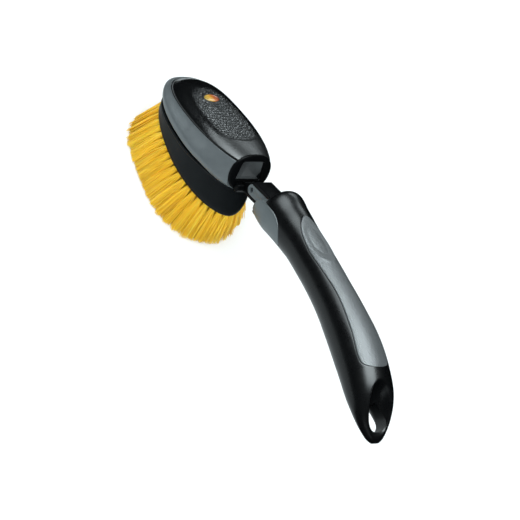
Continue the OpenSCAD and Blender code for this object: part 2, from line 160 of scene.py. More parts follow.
def tidy(ob, dist=2e-6):
    bm = bmesh.new()
    bm.from_mesh(ob.data)
    bmesh.ops.remove_doubles(bm, verts=bm.verts, dist=dist)
    loose = [v for v in bm.verts if not v.link_faces]
    bmesh.ops.delete(bm, geom=loose, context="VERTS")
    bmesh.ops.recalc_face_normals(bm, faces=bm.faces)
    bm.to_mesh(ob.data)
    bm.free()


def bake_modifiers(ob):
    dg = bpy.context.evaluated_depsgraph_get()
    dg.update()
    me = bpy.data.meshes.new_from_object(ob.evaluated_get(dg))
    ob.modifiers.clear()
    old = ob.data
    ob.data = me
    bpy.data.meshes.remove(old)


def boolean(ob, cutter, op="DIFFERENCE", keep=False):
    m = ob.modifiers.new("cut", "BOOLEAN")
    m.object = cutter
    m.operation = op
    m.solver = "EXACT"
    bpy.context.view_layer.update()
    bake_modifiers(ob)
    if not keep:
        me = cutter.data
        bpy.data.objects.remove(cutter)
        bpy.data.meshes.remove(me)


def rear_trim(ob, off):
    """Cuts the object square on the head's slanted rear plane and closes the cut."""
    co = to_m(rear(off, 0, 0))
    no = rear(1, 0, 0) - rear(0, 0, 0)
    bm = bmesh.new()
    bm.from_mesh(ob.data)
    got = bmesh.ops.bisect_plane(bm, geom=bm.verts[:] + bm.edges[:] + bm.faces[:], dist=1e-8, plane_co=co, plane_no=no, clear_inner=True)
    cut = [e for e in got["geom_cut"] if isinstance(e, bmesh.types.BMEdge) and len(e.link_faces) == 1]
    bmesh.ops.edgeloop_fill(bm, edges=cut)
    bmesh.ops.recalc_face_normals(bm, faces=bm.faces)
    if bm.calc_volume(signed=True) < 0:
        bmesh.ops.reverse_faces(bm, faces=bm.faces)
    bm.to_mesh(ob.data)
    bm.free()


def bevel(ob, width_mm, segments=3, angle=35):
    m = ob.modifiers.new("edge", "BEVEL")
    m.width = width_mm * 0.001
    m.segments = segments
    m.limit_method = "ANGLE"
    m.angle_limit = math.radians(angle)
    m.harden_normals = False
    bake_modifiers(ob)


def loft_faces(nr, n, cap_lo=True, cap_hi=True, closed=True):
    """Quads between nr rings of n points; optional poles are the two extra vertices at the end."""
    f = []
    m = n if closed else n - 1
    for r in range(nr - 1):
        for i in range(m):
            j = (i + 1) % n
            f.append((r * n + i, r * n + j, (r + 1) * n + j, (r + 1) * n + i))
    k = nr * n
    if cap_lo:
        for i in range(m):
            f.append((i, k, (i + 1) % n))
        k += 1
    if cap_hi:
        for i in range(m):
            f.append(((nr - 1) * n + i, (nr - 1) * n + (i + 1) % n, k))
    return f


def loft(name, rings, cap_lo=True, cap_hi=True, mid_lo=None, mid_hi=None):
    rings = np.asarray(rings, float)
    nr, n, _ = rings.shape
    v = [rings.reshape(-1, 3)]
    if cap_lo:
        v.append((rings[0].mean(axis=0) if mid_lo is None else np.asarray(mid_lo, float))[None])
    if cap_hi:
        v.append((rings[-1].mean(axis=0) if mid_hi is None else np.asarray(mid_hi, float))[None])
    ob = raw_object(name, np.concatenate(v), loft_faces(nr, n, cap_lo, cap_hi))
    outward(ob)
    return ob


def ring_loft(name, rings):
    """Rings that run round a section and meet the first one again."""
    rings = np.asarray(rings, float)
    nr, n, _ = rings.shape
    f = []
    for r in range(nr):
        q = (r + 1) % nr
        for i in range(n):
            j = (i + 1) % n
            f.append((r * n + i, r * n + j, q * n + j, q * n + i))
    ob = raw_object(name, rings.reshape(-1, 3), f)
    outward(ob)
    return ob


def catmull(rings, per, closed=False):
    """Smooth rows between control rings. A ring listed twice makes a corner."""
    r = np.asarray(rings, float)
    n = len(r)
    out = []
    last = n if closed else n - 1
    for i in range(last):
        p1, p2 = r[i], r[(i + 1) % n]
        if np.allclose(p1, p2):
            continue
        p0 = r[(i - 1) % n] if (closed or i > 0) else p1
        p3 = r[(i + 2) % n] if (closed or i + 2 < n) else p2
        if np.allclose(p0, p1):
            p0 = p1 - (p2 - p1)
        if np.allclose(p3, p2):
            p3 = p2 + (p2 - p1)
        l01 = np.linalg.norm(p1 - p0, axis=-1, keepdims=True).mean() ** 0.5 + 1e-9
        l12 = np.linalg.norm(p2 - p1, axis=-1, keepdims=True).mean() ** 0.5 + 1e-9
        l23 = np.linalg.norm(p3 - p2, axis=-1, keepdims=True).mean() ** 0.5 + 1e-9
        m1 = ((p1 - p0) / l01 - (p2 - p0) / (l01 + l12) + (p2 - p1) / l12) * l12
        m2 = ((p2 - p1) / l12 - (p3 - p1) / (l12 + l23) + (p3 - p2) / l23) * l12
        for k in range(per):
            t = k / per
            out.append((2 * t ** 3 - 3 * t ** 2 + 1) * p1 + (t ** 3 - 2 * t ** 2 + t) * m1
                       + (-2 * t ** 3 + 3 * t ** 2) * p2 + (t ** 3 - t ** 2) * m2)
    if not closed:
        out.append(r[-1])
    return np.array(out)


def prism(name, outline, y0, y1, place):
    """Closed prism: outline is (n, 2) in a frame's x and z, run from y0 to y1; place maps to hinge-relative mm."""
    o = np.asarray(outline, float)
    n = len(o)
    a = place(o[:, 0], np.full(n, y0), o[:, 1])
    b = place(o[:, 0], np.full(n, y1), o[:, 1])
    f = [tuple(range(n)), tuple(range(2 * n - 1, n - 1, -1))]
    f += [(i, (i + 1) % n, n + (i + 1) % n, n + i) for i in range(n)]
    ob = raw_object(name, np.concatenate([a, b]), f)
    outward(ob)
    return ob


def box(name, place, x, y, z):
    return prism(name, [(x[0], z[0]), (x[1], z[0]), (x[1], z[1]), (x[0], z[1])], y[0], y[1], place)


def tube(name, place, cx, cz, r, y0, y1, n=48, r2=None):
    """Round bar along y of a frame."""
    t = np.linspace(0, 2 * np.pi, n, endpoint=False)
    return prism(name, np.stack([cx + r * np.cos(t), cz + r * np.sin(t)], 1), y0, y1, place)


def rod(name, a, d, r, profile=None, n=32):
    """Round bar from point a along vector d (hinge-relative mm); profile is (distance along, radius)."""
    a, d = np.asarray(a, float), np.asarray(d, float)
    length = np.linalg.norm(d)
    z = d / length
    x = np.cross(z, [0, 1, 0] if abs(z[1]) < 0.9 else [1, 0, 0])
    x /= np.linalg.norm(x)
    y = np.cross(z, x)
    prof = profile or [(0, r), (length, r)]
    t = np.linspace(0, 2 * np.pi, n, endpoint=False)
    rings = [a + z * s + q * (np.outer(np.cos(t), x) + np.outer(np.sin(t), y)) for s, q in prof]
    return loft(name, rings, True, True, a + z * prof[0][0], a + z * prof[-1][0])


def join(name, obs):
    bm = bmesh.new()
    for o in obs:
        bm.from_mesh(o.data)
    me = bpy.data.meshes.new(name)
    bm.to_mesh(me)
    bm.free()
    for o in obs:
        old = o.data
        bpy.data.objects.remove(o)
        bpy.data.meshes.remove(old)
    ob = bpy.data.objects.new(name, me)
    bpy.context.scene.collection.objects.link(ob)
    return ob

# ------------------------------------------------------------------ handle
# x, height of the centre, half width, half height (hinge-relative mm)
ST = np.array([
    [-19.8, 9.9, 11.5, 12.2], [-20.8, 10.2, 13.9, 14.4], [-22.8, 10.8, 15.5, 16], [-25.5, 11.7, 16, 16.5],
    [-30, 12.9, 15.6, 16], [-35, 14.2, 15, 15.4], [-40, 15.6, 14.6, 15], [-46, 17.1, 14.2, 14.5],
    [-55, 19.4, 13.7, 13.9], [-64, 21.3, 13.6, 13.8], [-73, 22.9, 13.6, 13.8], [-82, 24.5, 13.7, 13.9],
    [-90, 25.8, 14, 14], [-99, 27, 14.3, 14.3], [-107, 27.9, 14.7, 14.7], [-115, 28.5, 15.2, 15.2],
    [-123, 28.9, 15.8, 15.7], [-131, 29.2, 16.3, 16.2], [-139, 29.2, 16.7, 16.5], [-146, 28.9, 17, 16.5],
    [-154, 28.2, 17, 16.3], [-161, 27.2, 17, 15.8], [-168, 25.9, 16.9, 15.1], [-175, 24.1, 16.4, 13.8],
    [-181, 22, 15.4, 11.8], [-187, 19.4, 13.6, 9.6], [-192.5, 16.8, 11.2, 7.4], [-197, 14.6, 8.4, 5.6],
    [-200.5, 12.9, 5.4, 4], [-202.4, 12, 2.6, 2.2]])
st_u = np.concatenate([[0], np.cumsum(np.hypot(np.diff(ST[:, 0]), np.diff(ST[:, 2])))])
st_fx, st_fz, st_fw, st_fh = [Spline(st_u, ST[:, k]) for k in range(4)]
tab_u = np.linspace(0, st_u[-1], 4000)
tab_x = st_fx(tab_u)
tab_x = np.minimum.accumulate(tab_x)


def u_of_x(x):
    return np.interp(-np.asarray(x, float), -tab_x, tab_u)


def centre_z(x):
    return st_fz(u_of_x(x))


def lean(x):
    x = np.asarray(x, float)
    a, b = np.minimum(x + 3, -19.9), np.maximum(x - 3, -202.3)
    return np.arctan2(centre_z(b) - centre_z(a), a - b)


def skin(x, z0, w, h, p, t, d=0.0):
    """Points of a section: t from the top towards +Y in radians, d outwards."""
    y = (w + d) * np.sin(t)
    k = (h + d) * np.cos(t)
    return np.stack([x + k * np.sin(p), y, z0 + k * np.cos(p)], axis=-1)


# edge of the soft grip, from its front end round the near side to its rear end
GE = np.array([[-43.3, 0], [-43.7, 6], [-45.3, 13.5], [-49, 24.5], [-55, 35.6], [-62, 41.6], [-70.5, 44.4], [-80, 42.4],
               [-90, 38.7], [-98, 35.8], [-106, 34.2], [-114, 34.5], [-123, 36.2], [-132, 38.5], [-142, 41.2], [-150, 43.4],
               [-154.2, 42.8], [-157.3, 39.5], [-159.4, 29], [-160.6, 15], [-161, 0]], float)
ge_t = np.concatenate([[0], np.cumsum(np.hypot(np.diff(GE[:, 0]), np.diff(GE[:, 1]) * 0.25))])
ge_x, ge_a = Spline(ge_t, GE[:, 0]), Spline(ge_t, GE[:, 1])


def grip_rows(n):
    q = np.linspace(0, ge_t[-1], n)
    # closer rows near both ends
    q = ge_t[-1] * (0.5 - 0.5 * np.cos(np.pi * q / ge_t[-1])) * 0.35 + q * 0.65
    x = np.minimum.accumulate(ge_x(q))
    return x, np.clip(ge_a(q), 0.0, None)


def section(x):
    u = u_of_x(x)
    return st_fx(u), st_fz(u), st_fw(u), st_fh(u), lean(x)


SEAT = 1.15      # depth of the grip's seat
N_OUT, N_IN = 104, 44
LIP = [(0.0, -SEAT), (0.0, -0.45), (0.07, -0.2), (0.22, -0.05), (0.5, 0.0)]   # (mm along the skin, mm outwards)


def handle_ring(x, a_deg, seat=True):
    x0, z0, w, h, p = section(x)
    a = math.radians(a_deg)
    ts, ds = [], []
    k = 57.3 / max(w, 2.0)
    for e, d in LIP:
        ts.append(a + math.radians(e * k))
        ds.append(d if seat else 0.0)
    a2 = ts[-1]
    out = np.linspace(a2, 2 * np.pi - a2, N_OUT)[1:-1]
    ts += list(out)
    ds += [0.0] * len(out)
    for e, d in reversed(LIP):
        ts.append(2 * np.pi - a - math.radians(e * k))
        ds.append(d if seat else 0.0)
    ins = np.linspace(-a, a, N_IN + 2)[1:-1]
    ts += list(ins)
    ds += [-SEAT if seat else 0.0] * len(ins)
    return skin(x0, z0, w, h, p, np.array(ts), np.array(ds))


rows = []
# rounded front face
x0, z0, w0, h0, p0 = section(-19.8)
for k in (0.06, 0.3, 0.55, 0.75, 0.88, 0.95):
    dx = 0.9 * math.sqrt(max(0.0, 1 - k * k)) - 0.28
    ref = handle_ring(-19.81, 30, False)
    c = np.array([x0, 0, z0])
    r = c + (ref - c) * k
    r[:, 0] += dx * math.cos(p0)
    rows.append(r)
for x in np.concatenate([np.linspace(-19.81, -20.8, 6)[:-1], np.linspace(-20.8, -25, 9)[:-1], np.linspace(-25, -43.1, 24)]):
    f = (-x - 19.8) / 23.4
    rows.append(handle_ring(x, 30 - 29.5 * smoothstep(f), False))
gx, ga = grip_rows(190)
for x, a in zip(gx, ga):
    rows.append(handle_ring(x, max(a, 0.3)))
for x in np.concatenate([np.linspace(-161.25, -196, 78)[:-1], -202.38 + 6.38 * (1 - np.linspace(0, 1, 22) ** 0.6)]):
    f = (-x - 161) / 14
    rows.append(handle_ring(x, 0.3 + 62 * smoothstep(f), False))
rows = np.array(rows)


def dish(p):
    """Lowers the top of the tail into the thumb dish."""
    tx, ty, tz = to_tail(p)
    cx = 7.3
    ax = np.where(tx > cx, 18.9, 18.9)
    nx = np.where(tx > cx, 2.5, 1.9)
    q = (np.abs((tx - cx) / ax) ** nx + np.abs(ty / 8.9) ** 2.1) ** (1 / 2.2)
    v = (1 - q) / 0.72
    v = np.log1p(np.exp(np.clip(v * 30, -40, 40))) / 30
    d = 9.2 * np.sin(np.pi / 2 * np.clip(v, 0, 1))
    d = d * np.clip((tx + 14) / 14, 0.35, 1)
    top = tz > -2 + 0.0 * tx
    d = np.where(top, d, 0)
    out = p.copy()
    out[..., 0] += d * S24
    out[..., 2] -= d * C24
    return out


mask = (rows[..., 0] < -160)
moved = dish(rows)
rows = np.where(mask[..., None], moved, rows)
handle = loft("handle_shell", rows, True, True)

# through hole, a drop shape with an eased lower rim
def drop(g, n=72):
    t = np.linspace(0, 2 * np.pi, n, endpoint=False)
    r = 7.0
    x = np.where(np.cos(t) > 0, (r + 5.6 * np.maximum(np.cos(t), 0) ** 1.6), r) * np.cos(t)
    y = r * np.sin(t)
    nx, ny = np.cos(t), np.sin(t)
    return x + g * nx, y + g * ny


cut = []
for z, g in [(-16, 5), (-11, 1.6), (-9.6, 0.95), (-8.6, 0.55), (-7.6, 0.25), (-6.6, 0.08), (-5.8, 0.01), (-5, 0), (2, 0), (16, 0)]:
    x, y = drop(g)
    cut.append(tail(x, y, np.full_like(x, z)))
boolean(handle, loft("hole_cutter", cut))


# ------------------------------------------------------------------ trigger window
def round_poly(p, times=3):
    p = np.asarray(p, float)
    for _ in range(times):
        q = np.roll(p, -1, axis=0)
        p = np.stack([p * 0.75 + q * 0.25, p * 0.25 + q * 0.75], 1).reshape(-1, 2)
    return p


def cheek(g):
    t = np.radians(np.linspace(0, 90, 40))
    a = np.stack([-25 - (23.4 + g) * sgp(np.cos(t), 0.85), -12.6 + (18.6 + g) * sgp(np.sin(t), 0.85)], 1)
    b = np.array([[-18.6, 6 + g], [-12.2 + g, -7.5], [-12.2 + g, -12.6 - g], [-48.4 - g, -12.6 - g]])
    return np.concatenate([a, b])


window = prism("window_cutter", cheek(0.3), -25, 25, neck)
boolean(handle, window)
boolean(handle, box("neck_cutter", neck, (-46.4, -8), (-7.3, 7.3), (-6.6, 6.62)))
tidy(handle)
shade(handle, 34)
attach(handle, "handle")
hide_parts("handle_body")

# ------------------------------------------------------------------ soft grip
gx, ga = grip_rows(240)
NG = 64
PROUD = 0.22
EDGE = [(0.0, -SEAT + 0.06), (0.0, -0.35), (0.05, -0.1), (0.2, 0.08), (0.45, 0.18)]
rings = []
for x, a in zip(gx, ga):
    x0, z0, w, h, p = section(x)
    k = 57.3 / w
    a = max(a - 0.34 * k, 0.02)
    tt, dd = [], []
    for e, d in EDGE:
        tt.append(math.radians(max(a - e * k, a * 0.5)))
        dd.append(d)
    tin = tt[-1]
    mid = np.linspace(tin, -tin, NG)[1:-1]
    full = list(tt) + list(mid) + [-v for v in reversed(tt)]
    dep = list(dd) + [PROUD] * len(mid) + list(reversed(dd))
    inner = np.linspace(-math.radians(a), math.radians(a), 12)[1:-1]
    full += list(inner)
    dep += [-SEAT + 0.06] * len(inner)
    t, d = np.array(full), np.array(dep)
    # thumb dimple
    q = np.sqrt(((x + 63.6) / 18.4) ** 2 + (np.degrees(t) / 39) ** 2)
    dim = 1.5 * smoothstep((1 - q) / 0.5)
    rim = 0.16 * np.exp(-((q - 1.02) / 0.06) ** 2)
    d = d - np.where(d > 0.1, dim - rim, 0)
    rings.append(skin(x0, z0, w, h, p, t, d))
grip = loft("grip_pad", rings, True, True)
tidy(grip)
shade(grip, 40)
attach(grip, "handle")
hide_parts("grip_overmould")

# ------------------------------------------------------------------ release trigger
TS = np.array([[-6, 6.2, 11.5, 11.8], [-10, 7.3, 13.4, 13.8], [-14, 8.35, 14.9, 15.2], [-18, 9.4, 15.6, 16.0], [-22, 10.5, 15.85, 16.3],
               [-26, 11.75, 16.1, 16.55], [-30, 12.9, 15.75, 16.1], [-35, 14.2, 15.15, 15.5], [-40, 15.6, 14.75, 15.1],
               [-46, 17.1, 14.35, 14.6], [-55, 19.4, 13.85, 14.0]])
ts_z, ts_w, ts_h = [Spline(-TS[:, 0], TS[:, k]) for k in (1, 2, 3)]


def skin_y(p, d=0.0):
    """Half width of the trigger's skin at the x and z of p."""
    x = p[..., 0].copy()
    for _ in range(12):
        slope = np.arctan2(ts_z(-(x - 3)) - ts_z(-(x + 3)), 6)
        k = (p[..., 2] - ts_z(-x)) / np.cos(slope)
        x = p[..., 0] - k * np.sin(slope)
    k = np.abs(k) / (ts_h(-x) + d)
    return (ts_w(-x) + d) * np.sqrt(np.clip(1 - k * k, 0.02, 1))


o = cheek(0.0)
# even points round the leaf, with its corners eased
o = round_poly(o, 2)
seg = np.concatenate([[0], np.cumsum(np.hypot(*np.diff(np.vstack([o, o[:1]]), axis=0).T))])
q = np.linspace(0, seg[-1], 160, endpoint=False)
oo = np.vstack([o, o[:1]])
o = np.stack([np.interp(q, seg, oo[:, 0]), np.interp(q, seg, oo[:, 1])], 1)
for _ in range(3):
    o = (np.roll(o, 1, 0) + 2 * o + np.roll(o, -1, 0)) / 4
tan = np.roll(o, -1, 0) - np.roll(o, 1, 0)
nrm = np.stack([tan[:, 1], -tan[:, 0]], 1)
nrm /= np.linalg.norm(nrm, axis=1, keepdims=True)
cen = np.array([-29.0, -5.0])
if np.sum((o - cen) * nrm) < 0:
    nrm = -nrm
leaves = []
for side in (1, -1):
    rr = []
    for k in np.linspace(0.04, 1, 15)[:-1]:
        inset = o - nrm * 0.75
        q2 = cen + (inset - cen) * k
        p = neck(q2[:, 0], 0, q2[:, 1])
        rr.append((q2, np.maximum(skin_y(p), 7.9)))
    for ins, dep in [(0.75, 0.0), (0.5, 0.03), (0.3, 0.1), (0.14, 0.24), (0.04, 0.45), (0.0, 0.75)]:
        q2 = o - nrm * ins
        p = neck(q2[:, 0], 0, q2[:, 1])
        rr.append((q2, np.maximum(skin_y(p), 8.4) - dep))
    q2 = o
    rr.append((q2, np.full(len(o), 7.6)))
    pts = [neck(a[:, 0], side * b, a[:, 1]) for a, b in rr]
    leaves.append(loft(f"leaf{side}", pts))
web = box("web", neck, (-28.6, -13.6), (-13.5, 13.5), (-12.5, -7.2))
ax = np.array([math.cos(math.radians(16)), 0, -math.sin(math.radians(16))])
boolean(web, rod("finger", np.array([-23, 0, 11.0]) - 30 * ax, 60 * ax, 15.5, n=96), "INTERSECT")
bevel(web, 0.7, 3)
trigger = join("trigger_leaves", leaves + [web])
tidy(trigger)
shade(trigger, 38)
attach(trigger, "release")
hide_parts("release_trigger")

# ------------------------------------------------------------------ neck
def ear_outline(r=3.6, x1=-46.0, n=28):
    t = np.radians(np.linspace(90, -90, n))
    a = np.stack([r * np.cos(t), r * np.sin(t)], 1)
    return np.concatenate([a, [[x1, -r], [x1, r]]])


for side, node in ((1, "neck_plate_left"), (-1, "neck_plate_right")):
    pl = prism("plate", ear_outline(), side * 5.0, side * 7.0, neck)
    boolean(pl, tube("h", neck, 0, 0, 1.5, side * 3, side * 9))
    boolean(pl, tube("h", neck, 0, 0, 1.95, side * 6.35, side * 9))
    boolean(pl, box("s", neck, (-18.9, -17.4), (side * 4, side * 9), (1.7, 3.75)))
    bevel(pl, 0.3, 2, 40)
    st = box("strip", neck, (-46, -0.6), (side * 5.6, side * 6.6), (2.6, 3.62))
    bevel(st, 0.15, 2, 40)
    pl = join(node + "_moulded", [pl, st])
    tidy(pl)
    shade(pl, 34)
    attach(pl, "handle")
    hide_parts(node)

core = prism("core", [(0.35, 3.75), (0.35, 5.3), (-0.55, 6.3), (-46, 6.3), (-46, 3.75)], -7.0, 7.0, neck)
bevel(core, 0.35, 3, 40)
c2 = box("core2", neck, (-46, -9.5), (-4.85, 4.85), (2.6, 4.2))
bevel(c2, 0.3, 2, 40)
core = join("neck_top_block", [core, c2])
tidy(core)
shade(core, 34)
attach(core, "handle")
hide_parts("neck_core")

pin = rod("pivot_pin", neck(0, -6.3, 0), neck(0, 6.3, 0) - neck(0, -6.3, 0), 1.5,
          [(0, 0.9), (0.0, 1.15), (0.3, 1.47), (12.3, 1.47), (12.6, 1.15), (12.6, 0.9)], 40)
shade(pin, 34)
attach(pin, "handle")
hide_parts("hinge_pin")

rail = box("rail", neck, (-30, 5.7), (-6.9, 6.9), (-6, -3.95))
boolean(rail, box("fork", neck, (-5.8, 12), (-5.1, 5.1), (-9, 0)))
bevel(rail, 0.35, 3, 40)
nose = box("nose", neck, (-9, -5.3), (-3.4, 3.4), (-0.45, 0.45))
bevel(nose, 0.15, 2, 40)
body = box("bar", neck, (-36, -8), (-4.6, 4.6), (-4.4, 2.2))
bevel(body, 0.4, 3, 40)
rail = join("lock_slider", [rail, nose, body])
tidy(rail)
shade(rail, 34)
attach(rail, "release")
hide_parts("lock_bar")

# ------------------------------------------------------------------ head
HCX, AF, AR, B, BZ = 53.0, 46.0, 50.0, 29.4, -37.0
CAP_CX, CAP_B, CROWN = 61.0, 23.8, 6.5
TANC = math.tan(math.radians(20.3))


def soft(v, w):
    return w * np.log1p(np.exp(np.clip(v / w, -40, 40)))


def part_z(x):
    return -15.3 - 0.235 * soft(x - 30, 3.0)


def cap_z(x):
    return -10.8 - TANC * (x - 62.8)


def egg(t, cx, af, ar, b, n=2.5, e=1.0):
    c, s = np.cos(t), np.sin(t)
    front = c >= 0
    x = np.where(front, cx + af * sgp(c, 2 / n), cx + ar * c)
    y = np.where(front, b * sgp(s, 2 / n), b * sgp(s, e))
    return x, y


def even_t(m, af=46.0, ar=46.0, b=27.0):
    """Angles that step evenly round an egg outline."""
    t = np.linspace(0, 2 * np.pi, 4001)
    x, y = egg(t, 0, af, ar, b)
    s = np.concatenate([[0], np.cumsum(np.hypot(np.diff(x), np.diff(y)))])
    return np.interp(np.linspace(0, s[-1], m, endpoint=False), s, t)


def hring(t, af, ar, b, kind, dz, cx=HCX, n=2.5, e=1.0):
    x, y = egg(t, cx, af, ar, b, n, e)
    z = dz + (0 * x if kind == 0 else part_z(x) if kind == 1 else cap_z(x))
    return np.stack([x, y, z], axis=-1)


def cring(t, k, dz):
    return hring(t, 44.0 * k, 51 * k, CAP_B * k, 2, dz, CAP_CX)


T = even_t(300)

# bristle block
ctl = [hring(T, AF - 1.6, AR - 1.6, B - 1.6, 0, BZ, e=1.15),
       hring(T, AF - 0.9, AR - 0.9, B - 0.9, 0, BZ + 0.06, e=1.15),
       hring(T, AF - 0.35, AR - 0.4, B - 0.35, 0, BZ + 0.4, e=1.15),
       hring(T, AF, AR - 0.1, B, 0, BZ + 1.2, e=1.14),
       hring(T, AF + 0.5, AR - 1.2, B + 0.3, 0, BZ + 4, e=1.1)]
low = ctl[-1]
top = hring(T, AF + 1, AR - 9.3, B + 0.8, 1, -3.6, e=1.2)
for k in (0.3, 0.6, 0.85):
    ctl.append(low * (1 - k) + top * k + np.array([0, 0, 0]))
ctl += [top,
        hring(T, AF + 1.0, AR - 9.4, B + 0.8, 1, -3.0, e=1.2),
        hring(T, AF + 1.3, AR - 9.15, B + 1.05, 1, -2.5, e=1.2),
        hring(T, AF + 1.25, AR - 9.3, B + 1.0, 1, -1.95, e=1.2),
        hring(T, AF + 0.8, AR - 9.8, B + 0.55, 1, -1.55, e=1.2),
        hring(T, AF - 1.0, AR - 11.6, B - 1.2, 1, -1.5, e=1.2)]
block = loft("bristle_block", catmull(ctl, 4), True, True)
for px, py in ((26, 10), (26, -10), (82, 11), (82, -11)):
    boolean(block, rod("c", [px, py, BZ - 2], [0, 0, 5], 3.0))
tidy(block)
shade(block, 34)
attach(block, "head")
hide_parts("brush_block")

# soft bumper
outer = catmull([hring(T, AF + 0.2, AR - 7.8, B - 0.3, 1, 0.25),
                 hring(T, AF + 2.6, AR - 6.5, B + 0.6, 1, 0.45),
                 hring(T, AF + 5.2, AR - 5.0, B + 1.15, 1, 1.9),
                 hring(T, AF + 7.5, AR - 3.1, B + 1.0, 1, 4.8),
                 cring(T, 1.018, -1.35),
                 cring(T, 1.010, -0.85),
                 cring(T, 1.003, -0.75),
                 cring(T, 0.997, -1.0),
                 cring(T, 0.995, -1.7)], 5)
inner = np.array([cring(T, 0.993, -2.8), hring(T, AF + 3.6, AR - 6.3, B - 1.6, 1, 4)])
bumper = ring_loft("bumper_soft", np.concatenate([outer, inner]))
rear_trim(bumper, 0.05)
tidy(bumper)
shade(bumper, 40)
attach(bumper, "head")
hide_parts("bumper_band")


# top cap with its pebble grain
def pebble(x, y, pitch, seed):
    """Cell pattern: 0 in the grooves, 1 on the pebbles."""
    g = np.random.default_rng(seed)
    n = 160
    jx, jy = g.random((n, n)), g.random((n, n))
    amp = 0.75 + 0.5 * g.random((n, n))
    cx, cy = np.floor(x / pitch).astype(int), np.floor(y / pitch).astype(int)
    f1 = np.full(x.shape, 9.0)
    f2 = np.full(x.shape, 9.0)
    am = np.ones(x.shape)
    for i in (-1, 0, 1):
        for j in (-1, 0, 1):
            a, b = cx + i, cy + j
            sx = (a + 0.15 + 0.7 * jx[a % n, b % n]) * pitch
            sy = (b + 0.15 + 0.7 * jy[a % n, b % n]) * pitch
            d = np.hypot(x - sx, y - sy) / pitch
            near = d < f1
            f2 = np.where(near, f1, np.minimum(f2, d))
            am = np.where(near, amp[a % n, b % n], am)
            f1 = np.where(near, d, f1)
    return smoothstep((f2 - f1) / 0.5) * am


TC = even_t(760, 42.2, 51.0, CAP_B)
ks = np.concatenate([np.linspace(0.984, 0.93, 16)[:-1], np.linspace(0.93, 0.02, 104)])
rings = [cring(TC, 0.978, -2.5), cring(TC, 0.982, -1.6), cring(TC, 0.985, -1.0)]
for k in ks:
    s = k / 0.985
    dz = 6.5 * max(0.0, 1 - s ** 3.0) ** 0.8
    dz -= 0.7 * smoothstep((k - 0.973) / 0.011)
    r = cring(TC, k, dz)
    r[:, 2] += 1.3 * smoothstep((r[:, 0] - 70) / 30) * smoothstep((0.985 - k) / 0.1)
    arc = 35.5 + 0.022 * r[:, 1] ** 2
    fade = smoothstep((0.74 - k) / 0.2) * smoothstep((r[:, 0] - arc) / 3.0)
    bx = np.hypot((r[:, 0] - 78) / 4.6, r[:, 1] / 6.8)
    fade = fade * smoothstep((bx - 0.92) / 0.2)
    lift = 0.3 * smoothstep((arc + 0.6 - r[:, 0]) / 1.8) * smoothstep((0.8 - k) / 0.2) - 0.2 * smoothstep((0.8 - k) / 0.2)
    r[:, 2] += (0.36 * pebble(r[:, 0], r[:, 1], 1.75, 3) - 0.24) * fade + lift * smoothstep((60 - r[:, 0]) / 20)
    rings.append(r)
cap = loft("cap_dome", rings, True, True)
rear_trim(cap, 0.05)
boolean(cap, box("room", rear, (-2, 8.2), (-10.6, 10.6), (-9, 9.2)))
tidy(cap)
shade(cap, 44)
vc = np.array([v.co[:] for v in cap.data.vertices]) * 1000 - HINGE
kk = np.hypot((vc[:, 0] - CAP_CX) / np.where(vc[:, 0] > CAP_CX, 42.2, 51.0), vc[:, 1] / CAP_B)
# satin on the grained crown and the rear, polished on the flanks and the front
gl = 0.24 + 0.68 * smoothstep((0.78 - kk) / 0.35)
gl *= 1 - 0.55 * smoothstep((vc[:, 0] - 76) / 16)
gl = np.maximum(gl, 0.24 + 0.76 * smoothstep((52 - vc[:, 0]) / 18))
at = cap.data.attributes.new("gloss", "FLOAT", "POINT")
at.data.foreach_set("value", gl.astype(np.float32))
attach(cap, "head")
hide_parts("top_cap")

# plain oval badge
t = np.linspace(0, 2 * np.pi, 96, endpoint=False)
ca, sa = math.cos(math.radians(20.3)), math.sin(math.radians(20.3))
rings = []
for k, h in [(1.0, -0.9), (1.0, 0.12), (0.985, 0.26), (0.95, 0.33), (0.9, 0.31), (0.875, 0.2), (0.85, 0.12), (0.7, 0.2), (0.4, 0.31), (0.1, 0.35)]:
    u, v = 3.6 * k * np.cos(t), 5.8 * k * np.sin(t)
    sag = -0.006 * v * v
    rings.append(np.stack([78 + u * ca + (h + sag) * sa, v, cap_z(78) + 6.55 - u * sa + (h + sag) * ca], axis=-1))
badge = loft("badge_oval", rings)
shade(badge, 40)
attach(badge, "head")
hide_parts("cap_badge")


# rear ring with its window
def supr(th, a, b, n):
    return (np.abs(np.cos(th) / a) ** n + np.abs(np.sin(th) / b) ** n) ** (-1 / n)


th = np.linspace(0, 2 * np.pi, 240, endpoint=False)


def taper(dz):
    """The window is wider at its foot than at its top."""
    return 1 - 0.012 * dz


def oval(x, a, b, n=2.35, zc=0.6):
    r = supr(th, a, b, n)
    z = r * np.sin(th)
    return rear(np.full_like(th, x), r * np.cos(th) * (taper(z) if n >= 5 else 1.0), zc + z)


prof = [oval(0.4, 16.1, 13.3), oval(-0.2, 16.25, 13.45), oval(-0.7, 16.2, 13.4), oval(-1.1, 15.95, 13.15), oval(-1.38, 15.5, 12.7),
        oval(-1.5, 14.9, 12.2), oval(-1.5, 12.9, 10.6, 2.8, 1.2), oval(-1.45, 10.6, 8.1, 5, 2.0),
        oval(-1.38, 9.9, 7.3, 9, 2.2), oval(-1.2, 9.6, 7.0, 11, 2.2), oval(-0.9, 9.5, 6.9, 12, 2.2),
        oval(0.6, 9.45, 6.85, 12, 2.2), oval(0.9, 9.6, 7.0, 12, 2.2)]
ring = ring_loft("rear_ring", prof)
tidy(ring)
shade(ring, 40)
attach(ring, "head")
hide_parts("socket_ring")

